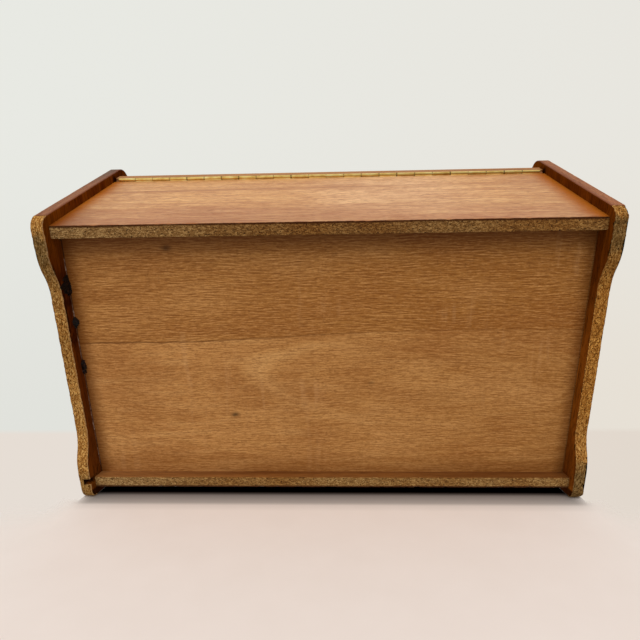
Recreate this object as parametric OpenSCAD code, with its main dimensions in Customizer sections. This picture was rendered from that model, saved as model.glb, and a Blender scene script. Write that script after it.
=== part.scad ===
// Sewing box of veneered chipboard: flared front and back panels between scroll-cut end panels,
// a plywood bottom, a lid on a brass piano hinge and a sliding half-depth tray.
// Millimetres, +Z up, the feet on Z = 0, the front towards -Y, the origin under the middle.

/* [Carcass] */
// Width over the two end panels
box_w = 450; // [360:1:600]
// Thickness of the veneered chipboard
board_t = 10; // [8.5:0.5:13]
// Depth over the front and back panels at their bottom edges
base_d = 239; // [200:1:320]
// Outward lean of the front and back panels, in degrees
flare = 12.5; // [6:0.5:16]
// Height of the back panel
back_h = 130.4; // [110:0.2:150]
// Height of the front and back panels above the ground
ground_gap = 8; // [5:0.5:12]
// Thickness of the plywood bottom
bottom_t = 4; // [3:0.5:6]
// Height of the plywood above the bottom edges of the panels
bottom_inset = 13.4; // [9:0.2:20]
// Depth of the grooves that hold the plywood
bottom_groove = 4; // [2:0.5:5]
// Thickness of the tongues on the front and back panels, flush with their inner faces
tongue_t = 5; // [3:0.5:6]
// Depth of the end-panel grooves that take the tongues
tongue_groove = 6; // [4:0.5:7.5]
// Height at which the tongues start, above the bottom edges of the panels
tongue_stop = 6; // [3:0.5:8]
// Clearance of a tongue, a panel or a pin in its groove or hole
fit_gap = 0.1; // [0.05:0.05:0.3]

/* [End panels] */
// Height of an end panel
end_h = 176; // [168:1:240]
// How far an end panel stands out past the front and back panels
end_overhang = 8; // [6:0.5:14]
// Radius of the two top corners
top_r = 18; // [8:0.5:30]
// Radius of the outer corner of each foot
foot_r = 10; // [4:0.5:12]
// Length of each foot along the ground
foot_len = 24.5; // [20:0.5:45]
// Height of the arch between the feet
arch_h = 9.6; // [5:0.2:12]
// Length of the curve from the arch down to a foot
arch_run = 40; // [14:0.5:50]
// Thickness of the veneer strips on the edges
band_t = 0.6; // [0.4:0.1:1.5]

/* [Piano hinge] */
// Outer diameter of the barrel
barrel_d = 3.2; // [3:0.1:5]
// How much of the barrel's radius lies inside the line of the back panel
barrel_sink = 0.15; // [0:0.05:0.3]
// Diameter of the pin
pin_d = 1.4; // [1:0.1:1.8]
// Radial clearance of the pin in the knuckles
pin_gap = 0.05; // [0.02:0.01:0.1]
// Thickness of a leaf
leaf_t = 0.9; // [0.6:0.1:1.2]
// Gap between the closed leaves
leaf_gap = 0.2; // [0.1:0.05:0.4]
// Width of a leaf on the wood
leaf_w = 9; // [7.5:0.5:10]
// Number of knuckles, half on each leaf
knuckles = 24; // [12:2:40]
// Gap between one knuckle and the next, and around each knuckle
knuckle_gap = 0.3; // [0.2:0.05:0.5]
// Gap between each end of the hinge and the end panel
hinge_end_gap = 4.2; // [2:0.1:10]
// Number of screws in each leaf
screws = 8; // [4:1:12]
// Diameter of a screw's shank
screw_d = 2.2; // [1.6:0.1:2.6]
// Diameter of a screw's countersunk head
screw_head_d = 4.4; // [3.4:0.1:5]
// Length of the screws in the back panel
back_screw_len = 14; // [8:0.5:20]
// Length of the screws in the lid
lid_screw_len = 8; // [5:0.5:9]

/* [Lid] */
// Thickness of the lid
lid_t = 10; // [9.5:0.5:14]
// Gap between each end of the lid and the end panel
lid_side_gap = 1; // [0.5:0.1:2]
// How far the lid stands out past the front panel
lid_lip = 5; // [3:0.5:7]
// Gap between the closed lid and the front panel
lid_seat_gap = 0.2; // [0.1:0.05:0.5]
// Gap between the lid's back edge and the back panel when the lid lies right back
lid_stop_gap = 0.3; // [0.2:0.05:0.5]

/* [Tray] */
// Depth of the tray from front to back
tray_d = 125; // [90:1:140]
// Height of the tray
tray_h = 42; // [30:1:60]
// Gap between the tray's top and the lid
tray_top_gap = 13; // [5:0.5:20]
// Gap between the tray and each end panel, and the back panel
tray_gap = 0.8; // [0.5:0.1:2]
// Gap between the tray and its runners
runner_gap = 0.1; // [0.05:0.05:0.3]
// Thickness of the tray's front and back
tray_wall = 6; // [5:0.5:9]
// Thickness of the tray's ends
tray_end_t = 8; // [6:0.5:12]
// Thickness of the tray's plywood bottom
tray_bottom_t = 3; // [2:0.5:4]
// Height of the tray's bottom above its lower edge
tray_bottom_up = 3; // [2:0.5:6]
// Depth of the grooves and housings in the tray
tray_groove = 2; // [1:0.5:3]
// Thickness of the dividers
divider_t = 4; // [3.5:0.5:6]
// Width of the long front compartment
front_cell_w = 44; // [30:1:60]
// Number of short compartments behind it
short_cells = 3; // [2:1:5]
// How far the dividers stay below the tray's top
divider_drop = 7; // [3:0.5:12]
// Radius of the finger scoops in the tray's front and back
scoop_r = 15; // [10:0.5:18]
// Height of the runners under the tray
runner_h = 10; // [8:0.5:16]
// Width of the runners under the tray
runner_w = 10; // [8:0.5:16]
// Diameter of the brads
brad_d = 1.4; // [1:0.1:1.8]
// Diameter of a brad's head
brad_head_d = 2.6; // [2:0.1:3.2]
// Thickness of a brad's head
brad_head_t = 0.8; // [0.5:0.1:1.2]
// How deep the brads go into the second piece
brad_bite = 6; // [4:0.5:6.5]

/* [Glue] */
// Radius of the dabs of glue along the bottom
dab_r = 4; // [2:0.5:5]
// Lengths of the three dabs, from the back
dab_lengths = [20, 9, 14]; // [8:1:30]
// Places of the three dabs, front to back
dab_places = [69, 36, -5]; // [-80:1:80]

/* [Hidden] */
$fn = 64;

veneer = "#b5763f";
edge_brown = "#8a5a3c";
plywood = "#a8713a";
brass = "#c9a24a";
tray_wood = "#c79a63";
iron = "#4a4640";
dark_glue = "#1c1714";

// Steps in each rounded corner of the end panels
corner_steps = 16;
// How far a cut runs past a face
past = 1;
// Place of a runner's outer brads, as a part of its half length
brad_spread = 0.75;
// Heights of the tray's brads, as parts of its height
brad_levels = [0.35, 0.75];

lean = tan(flare);
across = board_t / cos(flare);
inner_x = box_w / 2 - board_t;

// Half depths of the carcass at a height: outer and inner faces of the panels, edges of the ends
function outer_y(z) = base_d / 2 + (z - ground_gap) * lean;
function inner_y(z) = outer_y(z) - across;
function end_y(z) = outer_y(z) + end_overhang / cos(flare);
function tongue_y(z) = inner_y(z) + tongue_t / 2 / cos(flare);

hinge_gap = 2 * leaf_t + leaf_gap;
back_top = ground_gap + back_h;
lid_z = back_top + hinge_gap;
front_top = lid_z - lid_seat_gap;

barrel_r = barrel_d / 2;
axis_out = barrel_r - barrel_sink;
axis_z = back_top + hinge_gap / 2;
axis_y = outer_y(axis_z) + axis_out / cos(flare);
hinge_len = 2 * (inner_x - hinge_end_gap);
knuckle_pitch = hinge_len / knuckles;
bore_r = pin_d / 2 + pin_gap;
screw_y = outer_y(back_top) - across / 2;
screw_span = hinge_len - 2 * knuckle_pitch;
head_h = (screw_head_d - screw_d) / 2;

lid_x = inner_x - lid_side_gap;
lid_heights = [lid_z, lid_z + lid_t];

bottom_z = ground_gap + bottom_inset;
bottom_x = inner_x + bottom_groove - fit_gap;
bottom_y = inner_y(bottom_z + bottom_t / 2) + bottom_groove - fit_gap;

runner_top = lid_z - tray_top_gap - tray_h - runner_gap;
runner_y = inner_y(runner_top - runner_h) - fit_gap;
brad_places = [-brad_spread * runner_y, 0, brad_spread * runner_y];

tray_z = runner_top + runner_gap;
tray_x = inner_x - tray_gap;
tray_back_y = inner_y(tray_z) - tray_gap;
tray_front_y = tray_back_y - tray_d;
tray_inner_x = tray_x - tray_end_t;
tray_floor = tray_z + tray_bottom_up + tray_bottom_t;
divider_h = tray_z + tray_h - divider_drop - tray_floor;
long_divider_y = tray_front_y + tray_wall + front_cell_w;
short_cell_w = (2 * tray_inner_x - (short_cells - 1) * divider_t) / short_cells;
tray_brad_heights = [for (level = brad_levels) tray_z + tray_h * level];

// Points on an arc, from one angle to another
function arc(centre, r, from, to) = [
    for (i = [0 : corner_steps])
        let (a = from + (to - from) * i / corner_steps)
            centre + r * [cos(a), sin(a)]
];

// The same points for the other half of an outline, in the order that closes it
function other_half(points) = [
    for (i = [len(points) - 1 : -1 : 0]) [-points[i][0], points[i][1]]
];

// Centre of an arc of radius r that touches the leaning end edge, at a height
function edge_centre(r, z) = [end_y(z) - r / cos(flare), z];

// Half of an end panel's side and top edge, moved in by a veneer strip
function banded_half(inset) = concat(
    [edge_centre(foot_r, foot_r) + (foot_r - inset) * [cos(flare), -sin(flare)]],
    arc(edge_centre(top_r, end_h - top_r), top_r - inset, -flare, 90)
);

// Half of an end panel's outline: the arch, its curve down to the foot, the foot, side and top
function end_half() =
    let (
        foot_in = end_y(0) - foot_len,
        curve_r = (arch_run * arch_run + arch_h * arch_h) / (4 * arch_h),
        turn = asin(arch_run / (2 * curve_r))
    )
    concat(
        arc([foot_in - arch_run, arch_h - curve_r], curve_r, 90, 90 - turn),
        arc([foot_in, curve_r], curve_r, 270 - turn, 270),
        arc(edge_centre(foot_r, foot_r), foot_r, -90, -flare),
        banded_half(band_t)
    );

// Extrudes an outline drawn as depth and height along X
module along_x(x, length) {
    translate([x, 0, 0])
        rotate([90, 0, 90])
            linear_extrude(length)
                children();
}

module box(low, high) {
    translate(low)
        cube(high - low);
}

// Outline of a leaning panel between two heights
module panel_outline(z0, z1) {
    polygon([[inner_y(z0), z0], [outer_y(z0), z0], [outer_y(z1), z1], [inner_y(z1), z1]]);
}

// Outline of a panel's tongue, grown by a clearance
module tongue_outline(z0, z1, grow) {
    half = (tongue_t / 2 + grow) / cos(flare);
    polygon([
        [tongue_y(z0) - half, z0], [tongue_y(z0) + half, z0],
        [tongue_y(z1) + half, z1], [tongue_y(z1) - half, z1]
    ]);
}

// Space of the plywood bottom, grown by a clearance
module bottom_space(grow) {
    box(
        [-bottom_x - grow, -bottom_y - grow, bottom_z - grow],
        [bottom_x + grow, bottom_y + grow, bottom_z + bottom_t + grow]
    );
}

// Round bar along X on the hinge axis
module on_axis(x, length, r) {
    translate([x, axis_y, axis_z])
        rotate([0, 90, 0])
            cylinder(h = length, r = r);
}

// Countersunk screw, its head's face at z = 0 and its point down
module screw(length, grow) {
    translate([0, 0, -head_h])
        cylinder(h = head_h, r1 = screw_d / 2 + grow, r2 = screw_head_d / 2 + grow);
    translate([0, 0, -length - grow])
        cylinder(h = length + grow, r = screw_d / 2 + grow);
}

// The row of screws through the fixed leaf, or the one through the lid's leaf
module screw_row(to_lid, grow) {
    length = to_lid ? lid_screw_len : back_screw_len;
    face = to_lid ? axis_z + leaf_gap / 2 : axis_z - leaf_gap / 2;
    for (i = [0 : screws - 1])
        translate([screw_span * (i / (screws - 1) - 0.5), screw_y, face])
            rotate([to_lid ? 180 : 0, 0, 0])
                screw(length, grow);
}

// Headed brad pointing along +Z, its head's face at z = 0
module brad(length, grow) {
    translate([0, 0, -grow])
        cylinder(h = brad_head_t + grow, r = brad_head_d / 2 + grow);
    cylinder(h = length + grow, r = brad_d / 2 + grow);
}

// The brads that hold the runner at +X
module runner_brad_row(grow) {
    for (y = brad_places)
        translate([inner_x - runner_w, y, runner_top - runner_h / 2])
            rotate([0, 90, 0])
                brad(runner_w + brad_bite, grow);
}

// The brads through the tray's front and back into its end at +X
module tray_brad_rows(grow) {
    for (z = tray_brad_heights) {
        translate([tray_x - tray_end_t / 2, tray_front_y, z])
            rotate([-90, 0, 0])
                brad(tray_wall + brad_bite, grow);
        translate([tray_x - tray_end_t / 2, tray_back_y, z])
            rotate([90, 0, 0])
                brad(tray_wall + brad_bite, grow);
    }
}

// End panel at +X: scroll-cut board with grooves for the panels, the bottom and the runner's brads
module end_panel(groove_runs_out) {
    front_groove_z = groove_runs_out ? -past : ground_gap + tongue_stop;
    color(veneer)
        difference() {
            along_x(inner_x, board_t)
                polygon(concat(end_half(), other_half(end_half())));
            along_x(inner_x - past, tongue_groove + past)
                tongue_outline(ground_gap + tongue_stop, back_top, fit_gap);
            along_x(inner_x - past, tongue_groove + past)
                mirror([1, 0])
                    tongue_outline(front_groove_z, front_top, fit_gap);
            bottom_space(fit_gap);
            runner_brad_row(fit_gap);
        }
}

// Veneer strip round the back, top and front edges of the end panel at +X
module edge_band() {
    outer = concat(banded_half(0), other_half(banded_half(0)));
    inner = concat(banded_half(band_t), other_half(banded_half(band_t)));
    color(edge_brown)
        along_x(inner_x, board_t)
            polygon(concat(outer, [for (i = [len(inner) - 1 : -1 : 0]) inner[i]]));
}

module left_end_panel() {
    mirror([1, 0, 0])
        end_panel(false);
}

module right_end_panel() {
    end_panel(true);
}

module left_edge_band() {
    mirror([1, 0, 0])
        edge_band();
}

module right_edge_band() {
    edge_band();
}

// Leaning panel with a tongue on each end and a groove for the bottom
module leaning_panel(top) {
    tongue_x = inner_x + tongue_groove - fit_gap;
    difference() {
        union() {
            along_x(-inner_x, 2 * inner_x)
                panel_outline(ground_gap, top);
            along_x(-tongue_x, 2 * tongue_x)
                tongue_outline(ground_gap + tongue_stop + fit_gap, top, 0);
        }
        bottom_space(fit_gap);
    }
}

module back_panel() {
    color(veneer)
        difference() {
            leaning_panel(back_top);
            screw_row(false, fit_gap);
        }
}

module front_panel() {
    color(veneer)
        mirror([0, 1, 0])
            leaning_panel(front_top);
}

module bottom_panel() {
    color(plywood)
        bottom_space(0);
}

// Dabs of dark glue in the corner under the bottom, along the end panel at +X
module glue_dabs() {
    color(dark_glue)
        for (i = [0 : len(dab_places) - 1]) {
            half = dab_lengths[i] / 2;
            straight = max(half - dab_r, 0);
            intersection() {
                translate([inner_x, dab_places[i], bottom_z]) {
                    rotate([90, 0, 0])
                        cylinder(h = 2 * straight, r = dab_r, center = true);
                    for (s = [-1, 1])
                        translate([0, s * straight, 0])
                            sphere(r = dab_r);
                }
                box(
                    [inner_x - 2 * dab_r, dab_places[i] - half - dab_r, bottom_z - 2 * dab_r],
                    [inner_x, dab_places[i] + half + dab_r, bottom_z]
                );
            }
        }
}

// Strip on the end panel at +X that carries the tray
module tray_runner() {
    color(tray_wood)
        difference() {
            box(
                [inner_x - runner_w, -runner_y, runner_top - runner_h],
                [inner_x, runner_y, runner_top]
            );
            runner_brad_row(fit_gap);
        }
}

module left_tray_runner() {
    mirror([1, 0, 0])
        tray_runner();
}

module right_tray_runner() {
    tray_runner();
}

module runner_brads() {
    color(iron) {
        runner_brad_row(0);
        mirror([1, 0, 0])
            runner_brad_row(0);
    }
}

// Leaf of the piano hinge: a plate with every second knuckle, from the first or the second one
module hinge_leaf(first, z0, z1) {
    color(brass)
        difference() {
            union() {
                difference() {
                    box(
                        [-hinge_len / 2, outer_y(back_top) - leaf_w, z0],
                        [hinge_len / 2, axis_y, z1]
                    );
                    for (i = [1 - first : 2 : knuckles - 1])
                        on_axis(
                            -hinge_len / 2 + i * knuckle_pitch - knuckle_gap / 2,
                            knuckle_pitch + knuckle_gap,
                            barrel_r + knuckle_gap
                        );
                }
                for (i = [first : 2 : knuckles - 1])
                    on_axis(
                        -hinge_len / 2 + i * knuckle_pitch + knuckle_gap / 2,
                        knuckle_pitch - knuckle_gap,
                        barrel_r
                    );
            }
            on_axis(-hinge_len / 2 - past, hinge_len + 2 * past, bore_r);
            screw_row(first == 1, fit_gap);
        }
}

module hinge_fixed_leaf() {
    hinge_leaf(0, back_top, axis_z - leaf_gap / 2);
}

module hinge_lid_leaf() {
    hinge_leaf(1, axis_z + leaf_gap / 2, lid_z);
}

module hinge_pin() {
    color(brass)
        on_axis(-hinge_len / 2, hinge_len, pin_d / 2);
}

module hinge_fixed_screws() {
    color(brass)
        screw_row(false, 0);
}

module hinge_lid_screws() {
    color(brass)
        screw_row(true, 0);
}

// Depths of the lid's front or back edge at its underside and top, moved in by a veneer strip
function lid_front(inset) = [for (z = lid_heights) -outer_y(z) - (lid_lip - inset) / cos(flare)];
function lid_back(inset) = [
    for (z = lid_heights) outer_y(z) + (2 * axis_out - lid_stop_gap - inset) / cos(flare)
];

// Slice of the lid between two of those edges, hollowed for the hinge barrel
module lid_slice(from, to) {
    difference() {
        along_x(-lid_x, 2 * lid_x)
            polygon([
                [from[0], lid_heights[0]], [to[0], lid_heights[0]],
                [to[1], lid_heights[1]], [from[1], lid_heights[1]]
            ]);
        on_axis(-lid_x - past, 2 * (lid_x + past), barrel_r + knuckle_gap);
    }
}

module lid_panel() {
    color(veneer)
        difference() {
            lid_slice(lid_front(band_t), lid_back(band_t));
            screw_row(true, fit_gap);
        }
}

module lid_front_band() {
    color(edge_brown)
        lid_slice(lid_front(0), lid_front(band_t));
}

module lid_back_band() {
    color(edge_brown)
        lid_slice(lid_back(band_t), lid_back(0));
}

// Space of the tray's bottom, grown by a clearance
module tray_bottom_space(grow) {
    reach = tray_groove - fit_gap + grow;
    box(
        [-tray_inner_x - reach, tray_front_y + tray_wall - reach, tray_z + tray_bottom_up - grow],
        [tray_inner_x + reach, tray_back_y - tray_wall + reach, tray_floor + grow]
    );
}

// Space of the long divider, grown by a clearance at its ends and sides
module long_divider_space(grow) {
    reach = tray_groove - fit_gap + grow;
    box(
        [-tray_inner_x - reach, long_divider_y - grow, tray_floor],
        [tray_inner_x + reach, long_divider_y + divider_t + grow, tray_floor + divider_h + grow]
    );
}

// Space of the short dividers, grown by a clearance at their ends and sides
module cross_divider_space(grow) {
    reach = tray_groove - fit_gap + grow;
    for (i = [1 : short_cells - 1]) {
        x = -tray_inner_x + i * short_cell_w + (i - 1) * divider_t;
        box(
            [x - grow, long_divider_y + divider_t - reach, tray_floor],
            [x + divider_t + grow, tray_back_y - tray_wall + reach, tray_floor + divider_h + grow]
        );
    }
}

// Front or back of the tray, with its groove, its brad holes and a finger scoop
module tray_side(y) {
    difference() {
        box([-tray_x, y, tray_z], [tray_x, y + tray_wall, tray_z + tray_h]);
        tray_bottom_space(fit_gap);
        cross_divider_space(fit_gap);
        translate([0, y - past, tray_z + tray_h])
            rotate([-90, 0, 0])
                cylinder(h = tray_wall + 2 * past, r = scoop_r);
        tray_brad_rows(fit_gap);
        mirror([1, 0, 0])
            tray_brad_rows(fit_gap);
    }
}

// End of the tray at +X
module tray_end() {
    color(tray_wood)
        difference() {
            box(
                [tray_inner_x, tray_front_y + tray_wall, tray_z],
                [tray_x, tray_back_y - tray_wall, tray_z + tray_h]
            );
            tray_bottom_space(fit_gap);
            long_divider_space(fit_gap);
            tray_brad_rows(fit_gap);
        }
}

module tray_front() {
    color(tray_wood)
        tray_side(tray_front_y);
}

module tray_back() {
    color(tray_wood)
        tray_side(tray_back_y - tray_wall);
}

module tray_left_end() {
    mirror([1, 0, 0])
        tray_end();
}

module tray_right_end() {
    tray_end();
}

module tray_bottom() {
    color(plywood)
        tray_bottom_space(0);
}

module tray_long_divider() {
    color(tray_wood)
        difference() {
            long_divider_space(0);
            cross_divider_space(fit_gap);
        }
}

module tray_cross_dividers() {
    color(tray_wood)
        cross_divider_space(0);
}

module tray_brads() {
    color(iron) {
        tray_brad_rows(0);
        mirror([1, 0, 0])
            tray_brad_rows(0);
    }
}

left_end_panel();
right_end_panel();
left_edge_band();
right_edge_band();
back_panel();
front_panel();
bottom_panel();
glue_dabs();
left_tray_runner();
right_tray_runner();
runner_brads();
hinge_fixed_leaf();
hinge_fixed_screws();
hinge_pin();
lid_panel();
lid_front_band();
lid_back_band();
hinge_lid_leaf();
hinge_lid_screws();
tray_front();
tray_back();
tray_left_end();
tray_right_end();
tray_bottom();
tray_long_divider();
tray_cross_dividers();
tray_brads();
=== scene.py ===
import bpy
import numpy as np
from mathutils import Euler, Matrix, Vector


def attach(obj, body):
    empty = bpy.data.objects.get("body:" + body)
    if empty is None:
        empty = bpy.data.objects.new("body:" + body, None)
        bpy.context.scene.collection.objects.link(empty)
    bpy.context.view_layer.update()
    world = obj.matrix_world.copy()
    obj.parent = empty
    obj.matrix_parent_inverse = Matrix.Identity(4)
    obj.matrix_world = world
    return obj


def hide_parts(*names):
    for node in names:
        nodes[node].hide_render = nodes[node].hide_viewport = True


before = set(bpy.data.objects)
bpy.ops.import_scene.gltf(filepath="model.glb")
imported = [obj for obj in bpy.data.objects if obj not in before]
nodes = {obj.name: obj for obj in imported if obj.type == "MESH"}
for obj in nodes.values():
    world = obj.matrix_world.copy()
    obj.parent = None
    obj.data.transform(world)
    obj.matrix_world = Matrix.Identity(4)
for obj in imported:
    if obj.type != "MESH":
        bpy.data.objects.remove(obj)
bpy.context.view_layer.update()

# End panels: two boards of veneered chipboard, scroll-cut below into feet and an arch.
# Their faces are stained veneer; the cut edges below are bare, crumbling chips.
# Grooves in the inner faces hold the other panels, and one runs out through a front foot.
BOARD = 10.0  # thickness of the chipboard, in millimetres like all sizes of a mesh
LEAN_DEGREES = 12.5  # of the front and back panels and the end panels' sides
LEAN = np.tan(np.radians(LEAN_DEGREES))
ACROSS = BOARD / np.cos(np.radians(LEAN_DEGREES))  # level width of a leaning board
INNER_X = 215.0  # from the middle to an end panel's inner face
PANEL_Z = 8.0  # height of the leaning panels' bottom edges
PANEL_Y = 119.5  # half depth over those edges
OVERHANG = 8.0  # of the end panels past the leaning ones, square to the lean
END_HIGH = 176.0
FOOT = 24.5  # from the side to where the arch begins
ARCH_RUN = 40.0
ARCH_HIGH = 9.6
HEEL = 10.0  # radius of the corner under the side
CROWN = 18.0  # radius of the corner over it
BAND = 0.6  # thickness of the veneer strip on the side and top edges
ARRIS = 0.45  # how far a worn arris is set in
HINGE = (0.0, 0.1501, 0.1394)  # a place on the hinge's axis, in metres like all places in a finish


def outer_y(z):
    """Half depth over the leaning panels: that of their bottom edges, and more by the lean above them."""
    return PANEL_Y + (z - PANEL_Z) * LEAN


def end_y(z):
    """Half depth over the end panels: the overhang, square to the lean, past the leaning panels."""
    return outer_y(z) + OVERHANG / BOARD * ACROSS


def corner(r, z):
    """Centre of a round corner of radius r that touches an end panel's side, at a height."""
    return [end_y(z) - r / BOARD * ACROSS, z]


def arc(centre, r, start, stop):
    """Points at radius r about a centre, between two angles in degrees."""
    a = np.radians(np.linspace(start, stop, 60))
    return np.array(centre) + r * np.stack([np.cos(a), np.sin(a)], -1)


def run_along(points):
    """Length along a polyline up to each of its points."""
    return np.concatenate([[0], np.cumsum(np.linalg.norm(np.diff(points, axis=0), axis=1))])


def even(points, step):
    """The same polyline with points about one step apart along its length."""
    points = np.asarray(points, float)
    run = run_along(points)
    at = np.linspace(0, run[-1], max(2, int(round(run[-1] / step)) + 1))
    return np.stack([np.interp(at, run, points[:, i]) for i in range(points.shape[1])], -1)


def square_to(step):
    """Unit normals to the right of a row of steps."""
    step = step / np.linalg.norm(step, axis=1)[:, None]
    return np.stack([step[:, 1], -step[:, 0]], -1)


def outward(ring):
    """Unit normals of a closed anticlockwise ring, from the step between each point's neighbours."""
    return square_to(np.roll(ring, -1, 0) - np.roll(ring, 1, 0))


def noise(points, cell, seed):
    """Smooth noise from 0 to 1: hashed values at the corners of a lattice of that cell, blended by smooth
    steps. The hash stirs the corner's three whole numbers and the seed by large odd factors and shifts."""
    place = np.asarray(points, float) / cell
    base = np.floor(place).astype(np.int64)
    part = place - base
    part = part * part * (3 - 2 * part)
    total = np.zeros(place.shape[:-1])
    for near in np.ndindex(2, 2, 2):
        c = (base + np.array(near)) * (73856093, 19349663, 83492791)
        h = (c[..., 0] ^ c[..., 1] ^ c[..., 2] ^ seed * 40503) & 0xFFFFFFFF
        h = (h ^ h >> 15) * 2246822519 & 0xFFFFFFFF
        h = (h ^ h >> 13) * 3266489917 & 0xFFFFFFFF
        total += np.prod(np.where(near, part, 1 - part), -1) * (h ^ h >> 16) / 2**32
    return total


def over(value, level):
    """How far a value from 0 to 1 lies over a level, as a share of the room above it."""
    return np.clip(value - level, 0, 1) / (1 - level)


def surface(name, rows, body, made, stands_for=(), marks=None):
    """A closed skin over a grid of points in millimetres: each row is a ring, neighbouring rings are joined
    by quads, and the first and last rows shrink to one point each. Marks are values kept for the finish."""
    count, ring = rows.shape[:2]

    def listed(grid):
        first, last = grid[0].mean(0)[None], grid[-1].mean(0)[None]
        return np.concatenate([first, grid[1:-1].reshape(-1, *grid.shape[2:]), last])

    points = listed(rows) / 1000
    turn = np.arange(ring)
    after = (turn + 1) % ring
    start = 1 + ring * np.arange(count - 3)[:, None]
    quads = np.stack([start + turn, start + after, start + ring + after, start + ring + turn], -1)
    quads = quads.reshape(-1, 4)
    last = 1 + ring * (count - 3)
    fans = np.concatenate([
        np.stack([0 * turn, 1 + after, 1 + turn], -1),
        np.stack([0 * turn + len(points) - 1, last + turn, last + after], -1),
    ])
    corners = np.concatenate([quads[:, :3], quads[:, [0, 2, 3]], fans])
    a, b, c = np.moveaxis(points[corners], 1, 0)
    if np.einsum("ij,ij->", a, np.cross(b, c)) < 0:
        quads, fans = quads[:, ::-1], fans[:, ::-1]
    mesh = bpy.data.meshes.new(name)
    mesh.from_pydata(points.tolist(), [], quads.tolist() + fans.tolist())
    mesh.polygons.foreach_set("use_smooth", np.ones(len(mesh.polygons), bool))
    for key, value in (marks or {}).items():
        kind, field = ("FLOAT_VECTOR", "vector") if value.ndim == 3 else ("FLOAT", "value")
        kept = mesh.attributes.new(key, kind, "POINT")
        kept.data.foreach_set(field, listed(value).astype(np.float32).ravel())
    mesh.materials.append(made)
    mesh.set_sharp_from_angle(angle=np.radians(60))
    mesh.update()
    piece = bpy.data.objects.new(name, mesh)
    bpy.context.scene.collection.objects.link(piece)
    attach(piece, body)
    if stands_for:
        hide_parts(*stands_for)
    return piece


def adder(tree):
    """Empties a node tree and gives the function that adds its nodes: an input that is a socket is linked,
    and any other is set on the node."""
    tree.nodes.clear()

    def add(kind, inputs=None, out=0, **settings):
        node = tree.nodes.new("ShaderNode" + kind)
        for key, value in settings.items():
            setattr(node, key, value)
        for key, value in (inputs or {}).items():
            if isinstance(value, bpy.types.NodeSocket):
                tree.links.new(value, node.inputs[key])
            else:
                node.inputs[key].default_value = value
        return node.outputs[out] if node.outputs else node

    return add


def finish_named(name):
    """A new material, the function that adds its nodes, and the place on the piece in metres."""
    made = bpy.data.materials.new(name)
    made.use_nodes = True
    add = adder(made.node_tree)
    return made, add, add("TexCoord", out="Object")


def axes_of(add, place):
    """The three numbers of a place."""
    return tuple(add("SeparateXYZ", {"Vector": place}).node.outputs)


def mark(add, name, out="Fac"):
    """A value that the surface keeps for its finish."""
    return add("Attribute", out=out, attribute_name=name)


def rgb(red, green, blue):
    """A screen colour from 0 to 255 as the linear colour that a shader takes."""
    c = np.array([red, green, blue]) / 255
    return (*np.where(c <= 0.04045, c / 12.92, ((c + 0.055) / 1.055) ** 2.4), 1.0)


def ramp(add, factor, *stops):
    """Colours blended along a factor: each stop is a place and a screen colour, or a plain number."""
    out = add("ValToRGB", {"Fac": factor})
    elements = out.node.color_ramp.elements
    while len(elements) < len(stops):
        elements.new(1.0)
    for element, (place, *colour) in zip(elements, stops):
        element.position = place
        element.color = rgb(*colour) if len(colour) == 3 else (*colour * 3, 1.0)
    return out


def mix(add, factor, one, two, how="MIX"):
    """Two colours blended by a factor."""
    return add("Mix", {0: factor, 6: one, 7: two}, out=2, data_type="RGBA", blend_type=how)


def maths(add, what, one, two=0.0, three=0.0):
    """One sum on two or three numbers."""
    return add("Math", {0: one, 1: two, 2: three}, operation=what)


def plus(add, one, two):
    """The sum of two numbers."""
    return maths(add, "ADD", one, two)


def most(add, one, two):
    """The larger of two numbers."""
    return maths(add, "MAXIMUM", one, two)


def times(add, product, *factors):
    """The product of two or more numbers."""
    for factor in factors:
        product = maths(add, "MULTIPLY", product, factor)
    return product


def apart(add, one, two):
    """How far two numbers are apart."""
    return maths(add, "ABSOLUTE", maths(add, "SUBTRACT", one, two))


def distance(add, place, centre, stretch):
    """How far a place is from a centre, with each axis stretched by a factor."""
    off = add("VectorMath", {0: place, 1: centre}, operation="SUBTRACT")
    off = add("Mapping", {"Vector": off, "Scale": stretch})
    return add("VectorMath", {0: off}, out="Value", operation="LENGTH")


def span(add, value, low, high, first=0.0, last=1.0, soft=False):
    """A number carried from one span to another and held at its ends."""
    ends = {"Value": value, "From Min": low, "From Max": high, "To Min": first, "To Max": last}
    return add("MapRange", ends, interpolation_type="SMOOTHSTEP" if soft else "LINEAR")


def laid(add, under, *layers, soft=False):
    """Screen colours laid over another in turn. Each layer is a value, its low and high ends, a share and a
    colour: none is laid where the value is low, and that share of it where it is high."""
    for value, low, high, much, *colour in layers:
        under = mix(add, span(add, value, low, high, 0.0, much, soft), under, rgb(*colour))
    return under


def wavered(add, value, by, much):
    """A number that wavers with a noise, by that much to either side."""
    return plus(add, value, span(add, by, 0.3, 0.7, -much, much))


def by_end(add, x, left, right):
    """A number that is one thing at the -X end panel and another at the +X one."""
    return span(add, x, -0.1, 0.1, left, right)


def spots(add, place, stretch, detail=3.0, rough=0.6, bend=0.0):
    """Noise over a place in metres, with that many spots to the metre along each axis."""
    settings = {"Scale": 1.0, "Detail": detail, "Roughness": rough, "Distortion": bend}
    return add("TexNoise", {"Vector": add("Mapping", {"Vector": place, "Scale": stretch}), **settings})


def grain(add, place, length, width, bend=0.7):
    """Veneer grain on a place whose X runs with it, from the length and width of its fibres in millimetres:
    broad streaks, fibres that waver by the bend, and small dark pores, each 0 to 1."""
    long, wide = 1000 / length, 1000 / width
    streaks = spots(add, place, (long * 0.07, wide * 0.13, wide * 0.13), 4.0, 0.55, 0.5)
    fibres = spots(add, place, (long, wide, wide), 2.0, 0.6, bend)
    pores = spots(add, place, (long * 2.2, wide * 2.0, wide * 2.0), 1.0, 0.5)
    return streaks, fibres, span(add, pores, 0.56, 0.68)


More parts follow.
